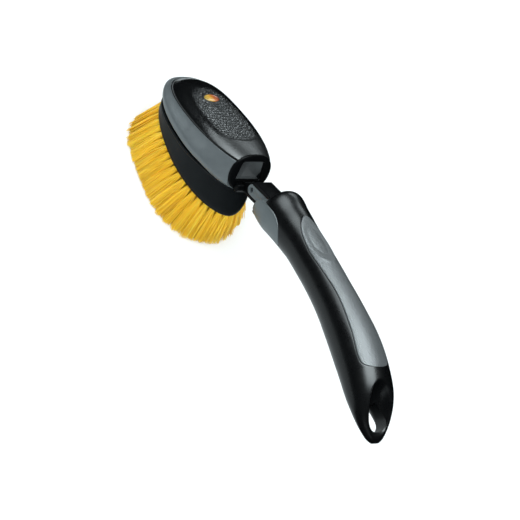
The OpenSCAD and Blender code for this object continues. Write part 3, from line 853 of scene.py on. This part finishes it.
# recess liner, two slopes that meet in a diagonal valley
ny, nz = 60, 46
yy, zz = np.meshgrid(np.linspace(-9.35, 9.35, ny), np.linspace(-4.55, 8.95, nz), indexing="ij")
dia = np.array([9.35, 6.95])
dia = dia / np.linalg.norm(dia)
across = yy * dia[1] - (zz - 2.2) * dia[0]
dist = np.abs(across)
down = np.abs(yy * dia[0] + (zz - 2.2) * dia[1])
xx = 6.0 - 0.4 * np.maximum(down - 1.5, 0) - np.where(across > 0, 0.48, 0.58) * (np.sqrt(dist ** 2 + 0.05) - 0.22)
xx = np.maximum(xx, 0.1)
edge = np.minimum.reduce([9.35 - np.abs(yy), zz + 4.55, 8.95 - zz])
xx = np.where(edge < 0.35, np.minimum(xx, 0.2 + 8 * edge), xx)
yy = yy * taper(zz - 2.2)
g = rear(xx, yy, zz)
v = g.reshape(-1, 3)
f = [(i * nz + j, (i + 1) * nz + j, (i + 1) * nz + j + 1, i * nz + j + 1) for i in range(ny - 1) for j in range(nz - 1)]
border = [i * nz for i in range(ny)] + [(ny - 1) * nz + j for j in range(1, nz)] + [i * nz + nz - 1 for i in range(ny - 2, -1, -1)] + [j for j in range(nz - 2, 0, -1)]
base = len(v)
bk = np.array([rear(6.7, yy.reshape(-1)[b], zz.reshape(-1)[b]) for b in border])
v = np.concatenate([v, bk])
f += [(border[i], border[(i + 1) % len(border)], base + (i + 1) % len(border), base + i) for i in range(len(border))]
f.append(tuple(base + i for i in range(len(border))))
liner = raw_object("recess_liner", v, f)
outward(liner)
shade(liner, 28)
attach(liner, "head")
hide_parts("socket_insert")

# knuckle: toothed disc, web and foot
pts = []
notch = [180 - 20 * k for k in range(-2, 3)]
a = 0.0
hw = math.degrees(math.asin(0.5 / 4.6))
hi_ = math.degrees(math.asin(0.5 / 3.2))
angs = []
for c in sorted(notch):
    angs.append((c - hw, c + hw, c))
cur = -180 + 360 * 0
th0 = 0.0
for c0, c1, c in angs:
    for q in np.arange(th0, c0 - 1.5, 4.0):
        pts.append((4.6, q))
    pts += [(4.6, c0), (3.2, c - hi_), (3.2, c + hi_), (4.6, c1)]
    th0 = c1 + 2.0
for q in np.arange(th0, 359.0, 4.0):
    pts.append((4.6, q))
ol = [(r * math.cos(math.radians(q)), r * math.sin(math.radians(q))) for r, q in pts]
disc = prism("disc", ol, -4.6, 4.6, neck)


def level47(x, y, z):
    c, s = math.cos(math.radians(47)), math.sin(math.radians(47))
    x, y, z = np.broadcast_arrays(np.asarray(x, float), np.asarray(y, float), np.asarray(z, float))
    return np.stack([x * c + z * s, y, -x * s + z * c], axis=-1)


web = box("kweb", level47, (0, 13.6), (-4.5, 4.5), (-3.2, 3.4))
bevel(web, 0.5, 2)
foot = prism("foot", [(-1.45, -5.9), (-5.6, -6.0), (-6.2, -7.2), (-6.2, -9.6), (-4.4, -12.2), (-1.45, -12.9)], -9.4, 9.4, rear)
bevel(foot, 0.9, 4, 25)
boolean(disc, tube("bore", level47, 0, 0, 1.55, -9, 9))
boolean(web, tube("bore", level47, 0, 0, 1.55, -9, 9))
knuckle = join("knuckle_moulded", [disc, web, foot])
tidy(knuckle)
shade(knuckle, 30)
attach(knuckle, "head")
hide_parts("index_knuckle")

# ------------------------------------------------------------------ bristles
FLARE_Y, FLARE_X = 1.45, 1.13


def tuft_rows():
    rows_ = []
    for k in range(1, 6):
        d = 2.9 + 5.2 * (k - 1)
        af, ar, b = AF - d, AR - d, B - d
        per = math.pi * (3 * ((af + ar) / 2 + b) - math.sqrt((3 * (af + ar) / 2 + b) * ((af + ar) / 2 + 3 * b)))
        n = 2 * int(per / 5.1 / 2)
        tt = np.radians(np.arange(0, 361, 2.0))
        x, y = egg(tt, 0, af, ar, b, 2.5, 1.15)
        s = np.concatenate([[0], np.cumsum(np.hypot(np.diff(x), np.diff(y)))])
        q = np.interp(np.arange(n) / n * s[-1], s, tt)
        x, y = egg(q, HCX, af, ar, b, 2.5, 1.15)
        keep = [(px, py) for px, py in zip(x, y)
                if min(math.hypot(px - sx, py - sy) for sx, sy in ((26, 10), (26, -10), (82, 11), (82, -11))) >= 5.4]
        rows_.append(keep)
    return rows_


def tuft_tip(p):
    back = max(0.0, HCX - p[0])
    return np.array([HCX - 1 + (p[0] - HCX) * (1.07 if back > 0 else FLARE_X), p[1] * (FLARE_Y - back * 0.0025), -HINGE[2]])


def splay(tip):
    """Used bristles lean out unevenly: most at the rear of the left side, least at the front."""
    v = np.array([tip[0] - HCX, tip[1]])
    r = np.linalg.norm(v)
    if r < 1e-6:
        return np.zeros(3)
    th = math.degrees(math.atan2(tip[1], -v[0]))
    if th >= 0:
        e = 7.2 * math.exp(-((th - 31) / (27 if th < 31 else 42)) ** 2)
    else:
        e = 4.0 * math.exp(-((th + 54) / 22) ** 2) + 2.0 * math.exp(-(th / 10) ** 2)
    e -= 2.0 * smoothstep((abs(th) - 110) / 35)
    v = v / r * e * min(1.0, r / 44.0)
    return np.array([v[0], v[1], 0.0])


def filaments(name, roots, node, count=44, radius=0.2, sides=4):
    """Bundles of nylon filaments; each tuft leaves its hole round and opens until it meets its neighbours."""
    V, F, C = [], [], []
    base = 0
    cen = np.array([HCX, 0.0])
    for (px, py) in roots:
        r0 = np.array([px, py, BZ])
        tip = tuft_tip((px, py))
        out = np.array([px, py]) - cen
        out = out / (np.linalg.norm(out) + 1e-9)
        tip = tip + splay(tip)
        along = np.array([-out[1], out[0]])
        n = count
        i = np.arange(n)
        rad = np.sqrt((i + 0.5) / n)
        ang = i * 2.39996 + rng.random() * 6.28
        jit = rng.normal(0, 0.05, (n, 2))
        ox, oy = rad * np.cos(ang) + jit[:, 0], rad * np.sin(ang) + jit[:, 1]
        short = np.abs(rng.normal(0, 0.34, n)) * (0.35 + 0.65 * rad)
        spread = rng.normal(0, 0.26, (n, 2))
        clump = rng.normal(0, 0.07)
        tone = np.clip(rng.random(n) * 0.8 + 0.1 + clump, 0, 1)
        sway = rng.normal(0, 0.15, 2) + out * rng.normal(0, 0.5)
        for j in range(n):
            w0 = ox[j] * 1.62 * along + oy[j] * 1.6 * out
            w1 = ox[j] / math.sqrt(max(0.3, 1 - oy[j] ** 2)) * 4.1 * along + oy[j] / math.sqrt(max(0.45, 1 - ox[j] ** 2)) * 2.6 * out
            a0 = r0 + np.array([w0[0] * 0.8, w0[1] * 0.8, 3.0])
            a1 = r0 + np.array([w0[0], w0[1], -0.4])
            e = tip + np.array([w1[0] + spread[j, 0] + sway[0], w1[1] + spread[j, 1] + sway[1], short[j]])
            mid = a1 * 0.58 + e * 0.42 + np.array([w1[0], w1[1], 0]) * 0.16
            d = e - a1
            d /= np.linalg.norm(d)
            u = np.cross(d, [0, 1, 0.2])
            u /= np.linalg.norm(u)
            w = np.cross(d, u)
            ph = rng.random() * 3
            for c, q in ((a0, 1.0), (a1, 1.0), (mid, 1.0), (e, 0.95)):
                for k in range(sides):
                    aa = ph + k * 2 * math.pi / sides
                    V.append(c + (math.cos(aa) * u + math.sin(aa) * w) * radius * q)
                    C.append(tone[j])
            for lvl in range(3):
                for k in range(sides):
                    k2 = (k + 1) % sides
                    b0 = base + lvl * sides
                    F.append((b0 + k, b0 + k2, b0 + sides + k2, b0 + sides + k))
            F.append(tuple(base + 3 * sides + k for k in range(sides)))
            F.append(tuple(base + k for k in reversed(range(sides))))
            base += 4 * sides
    V = np.array(V)
    V[:, 2] = np.maximum(V[:, 2], -HINGE[2] + 0.01)
    ya = np.abs(V[:, 1])
    V[:, 1] = np.sign(V[:, 1]) * (np.minimum(ya, 38.0) + 0.55 * np.maximum(ya - 38.0, 0))
    ob = raw_object(name, V, F)
    outward(ob)
    at = ob.data.attributes.new("tone", "FLOAT", "POINT")
    at.data.foreach_set("value", np.array(C, dtype=np.float32))
    ob.data.shade_smooth()
    ob.data.set_sharp_from_angle(angle=math.radians(95))
    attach(ob, "head")
    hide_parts(node)
    return ob


R = tuft_rows()
n0 = len(R[0])
stance = {int(math.floor(k * n0 / 10 + 0.5)) for k in range(10)}
tufts = [
    filaments("bristles_stance", [p for i, p in enumerate(R[0]) if i in stance], "tufts_stance", 120),
    filaments("bristles_row_1", [p for i, p in enumerate(R[0]) if i not in stance], "tufts_row_1", 120),
    filaments("bristles_row_2", R[1], "tufts_row_2", 70, 0.24),
    filaments("bristles_row_3", R[2], "tufts_row_3", 44, 0.27),
    filaments("bristles_row_4", R[3] + R[4], "tufts_row_4", 44, 0.27)]


# ------------------------------------------------------------------ materials
def new_material(name):
    m = bpy.data.materials.new(name)
    m.use_nodes = True
    nt = m.node_tree
    nt.nodes.clear()
    out = nt.nodes.new("ShaderNodeOutputMaterial")
    bs = nt.nodes.new("ShaderNodeBsdfPrincipled")
    nt.links.new(bs.outputs[0], out.inputs[0])
    tc = nt.nodes.new("ShaderNodeTexCoord")
    return m, nt, bs, tc.outputs["Object"]


def noise(nt, co, scale, detail=3.0, rough=0.5, stretch=None):
    src = co
    if stretch is not None:
        mp = nt.nodes.new("ShaderNodeMapping")
        mp.inputs["Scale"].default_value = stretch
        nt.links.new(co, mp.inputs["Vector"])
        src = mp.outputs[0]
    n = nt.nodes.new("ShaderNodeTexNoise")
    n.inputs["Scale"].default_value = scale
    n.inputs["Detail"].default_value = detail
    n.inputs["Roughness"].default_value = rough
    nt.links.new(src, n.inputs["Vector"])
    return n.outputs["Fac"]


def cells(nt, co, scale, feature="F1"):
    n = nt.nodes.new("ShaderNodeTexVoronoi")
    n.feature = feature
    n.inputs["Scale"].default_value = scale
    nt.links.new(co, n.inputs["Vector"])
    return n.outputs["Distance"]


def ramp(nt, fac, stops):
    r = nt.nodes.new("ShaderNodeValToRGB")
    el = r.color_ramp.elements
    while len(el) > 1:
        el.remove(el[-1])
    for i, (pos, col) in enumerate(stops):
        e = el[0] if i == 0 else el.new(pos)
        e.position = pos
        e.color = (*col, 1) if len(col) == 3 else col
    nt.links.new(fac, r.inputs["Fac"])
    return r.outputs["Color"]


def remap(nt, fac, lo_, hi_, a=0.0, b=1.0):
    n = nt.nodes.new("ShaderNodeMapRange")
    n.inputs["From Min"].default_value = a
    n.inputs["From Max"].default_value = b
    n.inputs["To Min"].default_value = lo_
    n.inputs["To Max"].default_value = hi_
    nt.links.new(fac, n.inputs["Value"])
    return n.outputs[0]


def bump(nt, bs, height, strength, dist, prev=None):
    n = nt.nodes.new("ShaderNodeBump")
    n.inputs["Strength"].default_value = strength
    n.inputs["Distance"].default_value = dist
    nt.links.new(height, n.inputs["Height"])
    if prev is not None:
        nt.links.new(prev, n.inputs["Normal"])
    nt.links.new(n.outputs[0], bs.inputs["Normal"])
    return n.outputs[0]


def shades(c, d):
    return [tuple(max(0.0, v * (1 - d)) for v in c), tuple(v * (1 + d) for v in c)]


def plastic(name, colour, rough, grain=2600.0, grain_depth=0.00002, vary=0.12, rough_vary=0.05, strength=0.35, spec=0.5):
    m, nt, bs, co = new_material(name)
    big = noise(nt, co, 55.0, 4.0, 0.6)
    a, b = shades(colour, vary)
    nt.links.new(ramp(nt, big, [(0.3, a), (0.7, b)]), bs.inputs["Base Color"])
    mid = noise(nt, co, 190.0, 3.0, 0.6)
    nt.links.new(remap(nt, mid, rough - rough_vary, rough + rough_vary, 0.3, 0.7), bs.inputs["Roughness"])
    fine = noise(nt, co, grain, 2.0, 0.6)
    bump(nt, bs, fine, strength, grain_depth)
    bs.inputs["Specular IOR Level"].default_value = spec
    return m


M_HANDLE = plastic("moulded_black", (0.0022, 0.0027, 0.0032), 0.29, 1500, 0.00004, 0.15, 0.03, 0.25, 0.32)
M_BLACK = plastic("black_plastic", (0.0045, 0.0062, 0.0072), 0.42, 1900, 0.00004, 0.15, 0.04, 0.3, 0.13)
M_RING = plastic("black_gloss_ring", (0.002, 0.0024, 0.0028), 0.36, 1900, 0.00003, 0.15, 0.04, 0.3, 0.05)
M_NECKB = plastic("black_nylon", (0.0028, 0.0032, 0.0038), 0.34, 1500, 0.00005, 0.18, 0.04, 0.3, 0.05)
M_NECK = plastic("grey_nylon", (0.07, 0.088, 0.094), 0.4, 1500, 0.00005, 0.08, 0.05, 0.4)
M_RECESS = plastic("dark_grey_plastic", (0.058, 0.067, 0.07), 0.45, 1700, 0.00005, 0.1, 0.05, 0.4)


def rubber(name, colour, rough, grain, depth, strength, vary=0.06):
    m, nt, bs, co = new_material(name)
    big = noise(nt, co, 60.0 if vary < 0.08 else grain * 0.8, 4.0, 0.7)
    a, b = shades(colour, vary)
    nt.links.new(ramp(nt, big, [(0.3, a), (0.7, b)]), bs.inputs["Base Color"])
    mid = noise(nt, co, 240.0, 3.0, 0.6)
    nt.links.new(remap(nt, mid, rough - 0.05, rough + 0.06, 0.3, 0.7), bs.inputs["Roughness"])
    c = cells(nt, co, grain, "F1")
    n1 = bump(nt, bs, c, strength, depth)
    fine = noise(nt, co, grain * 2.2, 2.0, 0.6)
    bump(nt, bs, fine, strength * 0.5, depth * 0.6, n1)
    bs.inputs["Sheen Weight"].default_value = 0.04
    bs.inputs["Sheen Roughness"].default_value = 0.4
    bs.inputs["Specular IOR Level"].default_value = 0.58
    return m


M_GRIP = rubber("soft_grip_grey", (0.086, 0.1, 0.106), 0.33, 1500, 0.0002, 0.8, 0.08)
M_BUMPER = rubber("soft_bumper_grey", (0.078, 0.096, 0.103), 0.38, 2600, 0.00002, 0.3)


def cap_material():
    m, nt, bs, co = new_material("cap_pebble_black")
    big = noise(nt, co, 70.0, 4.0, 0.6)
    nt.links.new(ramp(nt, big, [(0.3, (0.0026, 0.0032, 0.0037)), (0.7, (0.0042, 0.005, 0.0056))]), bs.inputs["Base Color"])
    mid = noise(nt, co, 320.0, 3.0, 0.6)
    at = nt.nodes.new("ShaderNodeAttribute")
    at.attribute_name = "gloss"
    add = nt.nodes.new("ShaderNodeMath")
    add.operation = "ADD"
    nt.links.new(remap(nt, mid, 0.0, 0.07, 0.3, 0.7), add.inputs[0])
    nt.links.new(remap(nt, at.outputs["Fac"], 0.15, 0.32, 0.2, 1.0), add.inputs[1])
    nt.links.new(add.outputs[0], bs.inputs["Roughness"])
    c = cells(nt, co, 760.0, "SMOOTH_F1")
    n1 = bump(nt, bs, c, 0.35, 0.0001)
    fine = noise(nt, co, 2600.0, 2.0, 0.6)
    bump(nt, bs, fine, 0.3, 0.00004, n1)
    bs.inputs["Specular IOR Level"].default_value = 0.56
    return m


M_CAP = cap_material()


def bristle_material():
    m, nt, bs, co = new_material("bristle_yellow_nylon")
    at = nt.nodes.new("ShaderNodeAttribute")
    at.attribute_name = "tone"
    col = ramp(nt, at.outputs["Fac"], [(0.0, (0.86, 0.43, 0.01)), (0.35, (0.96, 0.54, 0.015)), (0.75, (0.99, 0.60, 0.025)), (1.0, (1.0, 0.70, 0.06))])
    nt.links.new(col, bs.inputs["Base Color"])
    fine = noise(nt, co, 900.0, 2.0, 0.6)
    nt.links.new(remap(nt, fine, 0.34, 0.5, 0.3, 0.7), bs.inputs["Roughness"])
    bump(nt, bs, noise(nt, co, 2400.0, 2.0, 0.5, (1, 1, 0.1)), 0.3, 0.00004)
    bs.inputs["Subsurface Weight"].default_value = 0.35
    bs.inputs["Subsurface Radius"].default_value = (1.0, 0.6, 0.2)
    bs.inputs["Subsurface Scale"].default_value = 0.0012
    return m


M_BRISTLE = bristle_material()


def steel(name, colour, rough):
    m, nt, bs, co = new_material(name)
    big = noise(nt, co, 120.0, 4.0, 0.6)
    a, b = shades(colour, 0.12)
    nt.links.new(ramp(nt, big, [(0.3, a), (0.7, b)]), bs.inputs["Base Color"])
    ln = noise(nt, co, 900.0, 3.0, 0.6, (1, 0.06, 1))
    nt.links.new(remap(nt, ln, rough - 0.08, rough + 0.1, 0.3, 0.7), bs.inputs["Roughness"])
    bump(nt, bs, ln, 0.2, 0.00002)
    bs.inputs["Metallic"].default_value = 1.0
    return m


M_STEEL = steel("zinc_steel", (0.42, 0.43, 0.45), 0.34)
# The pivot pin's near-black colour is painted shade, so the pin reads as a dark hole with a glint.
M_PIN = steel("pin_steel_painted_shade", (0.02, 0.022, 0.025), 0.3)


def badge_material():
    m, nt, bs, co = new_material("badge_amber_gloss")
    gr = nt.nodes.new("ShaderNodeSeparateXYZ")
    nt.links.new(co, gr.inputs[0])
    turn = remap(nt, gr.outputs["Y"], 1.0, 0.0, -0.0055, 0.0055)
    nt.links.new(ramp(nt, turn, [(0.0, (0.42, 0.3, 0.04)), (0.35, (0.62, 0.36, 0.03)), (0.65, (0.5, 0.13, 0.02)), (1.0, (0.2, 0.03, 0.015))]), bs.inputs["Base Color"])
    nt.links.new(remap(nt, noise(nt, co, 600.0), 0.2, 0.34, 0.3, 0.7), bs.inputs["Roughness"])
    bump(nt, bs, noise(nt, co, 1500.0), 0.2, 0.00003)
    bs.inputs["Coat Weight"].default_value = 0.3
    return m


M_BADGE = badge_material()


def put(ob, m):
    ob.data.materials.clear()
    ob.data.materials.append(m)


for ob, m in ((handle, M_HANDLE), (grip, M_GRIP), (trigger, M_NECK), (core, M_NECKB), (pin, M_PIN), (rail, M_NECKB),
              (block, M_BLACK), (bumper, M_BUMPER), (cap, M_CAP), (badge, M_BADGE), (ring, M_RING), (liner, M_RECESS), (knuckle, M_RING)):
    put(ob, m)
for o_ in bpy.data.objects:
    if o_.name.endswith("_moulded") and o_.name.startswith("neck_plate"):
        put(o_, M_NECK)
for o_ in tufts:
    put(o_, M_BRISTLE)
NODE_MAT = {"neck_pins": M_STEEL, "trigger_screw": M_STEEL, "lock_spring": M_STEEL, "knuckle_screws": M_STEEL, "block_screws": M_STEEL,
            "tuft_anchors": M_STEEL, "head_housing": M_BLACK}
for name, m in NODE_MAT.items():
    o_ = frame["nodes"][name]
    if not o_.material_slots:
        o_.data.materials.append(m)
    for s_ in o_.material_slots:
        s_.material = m

# ------------------------------------------------------------------ camera, floor and light
RV = np.array([-0.3348, -0.7862, 0.5194])
UV = np.array([0.8400, 0.0007, 0.5426])
TV = np.array([-0.4270, 0.6180, 0.6602])
LENS = 900.0
target = to_m(0.26 * RV - 45.5 * UV)
dist = 0.338 * LENS / 36.0
cam_d = bpy.data.cameras.new("camera")
cam_d.lens = LENS
cam_d.sensor_width = 36.0
cam_d.clip_start = 0.1
cam_d.clip_end = 100.0
cam = bpy.data.objects.new("camera", cam_d)
bpy.context.scene.collection.objects.link(cam)
rot = Matrix((RV, UV, TV)).transposed().to_4x4()
cam.matrix_world = Matrix.Translation(Vector(target + TV * dist)) @ rot
bpy.context.scene.camera = cam

me = bpy.data.meshes.new("floor")
me.from_pydata([(-0.25, -0.4, -0.0006), (0.28, -0.4, -0.0006), (0.28, 0.32, -0.0006), (-0.25, 0.32, -0.0006)], [], [(0, 1, 2, 3)])
floor = bpy.data.objects.new("floor", me)
bpy.context.scene.collection.objects.link(floor)
m, nt, bs, co = new_material("floor_pale")
nt.links.new(ramp(nt, noise(nt, co, 3.0), [(0.3, (0.84, 0.885, 0.9)), (0.7, (0.86, 0.9, 0.915))]), bs.inputs["Base Color"])
bs.inputs["Roughness"].default_value = 0.9
bs.inputs["Emission Color"].default_value = (0.9, 1.0, 1.0, 1)
bs.inputs["Emission Strength"].default_value = 0.16
floor.data.materials.append(m)

w = bpy.data.worlds.new("studio")
bpy.context.scene.world = w
w.use_nodes = True
w.node_tree.nodes["Background"].inputs["Color"].default_value = (0.97, 0.99, 1.0, 1)
w.node_tree.nodes["Background"].inputs["Strength"].default_value = 1.0
w.cycles_visibility.glossy = False


def softbox(name, az, el, dist, size, size_y, radiance, colour=(1, 1, 1), aim=(0, 0, 0.05), shine=True, fill=False):
    """A lit panel seen from the brush at azimuth az and elevation el."""
    d = bpy.data.lights.new(name, "AREA")
    d.shape = "RECTANGLE"
    d.size = size
    d.size_y = size_y
    d.energy = radiance * math.pi * size * size_y
    d.color = colour
    o_ = bpy.data.objects.new(name, d)
    bpy.context.scene.collection.objects.link(o_)
    a_, e_ = math.radians(az), math.radians(el)
    way = Vector((math.cos(e_) * math.cos(a_), math.cos(e_) * math.sin(a_), math.sin(e_)))
    o_.location = Vector(aim) + way * dist
    o_.rotation_euler = (-way).to_track_quat("-Z", "Y").to_euler()
    o_.visible_glossy = shine
    o_.visible_diffuse = fill
    return o_


COOL = (0.87, 0.97, 1.0)
softbox("key", 25, 57, 1.3, 1.0, 0.95, 7.0, COOL)
softbox("top", 75, 84, 1.3, 0.95, 0.95, 14.5, COOL)
softbox("back_strip", -40, 26.5, 1.2, 0.44, 0.3, 4.6, COOL)
softbox("side_card", 152, 5, 1.0, 0.5, 0.14, 1.3, COOL)
softbox("soft_fill", 15, 60, 1.5, 1.5, 1.4, 0.7, shine=False, fill=True)
softbox("front_fill", 135, 28, 1.5, 1.3, 1.0, 2.3, shine=False, fill=True)
# the pale floor as the shiny parts see it: only the near side of the table is lit for them
floor.visible_glossy = False
glow = softbox("table_bounce", 0, 90, 0.1, 0.375, 0.32, 0.9, COOL, aim=(0.0625, 0.11, 0))
glow.location = (0.0625, 0.11, -0.0003)
glow.rotation_euler = (math.pi, 0, 0)
glow.visible_camera = False
bpy.context.scene.view_settings.view_transform = "Standard"
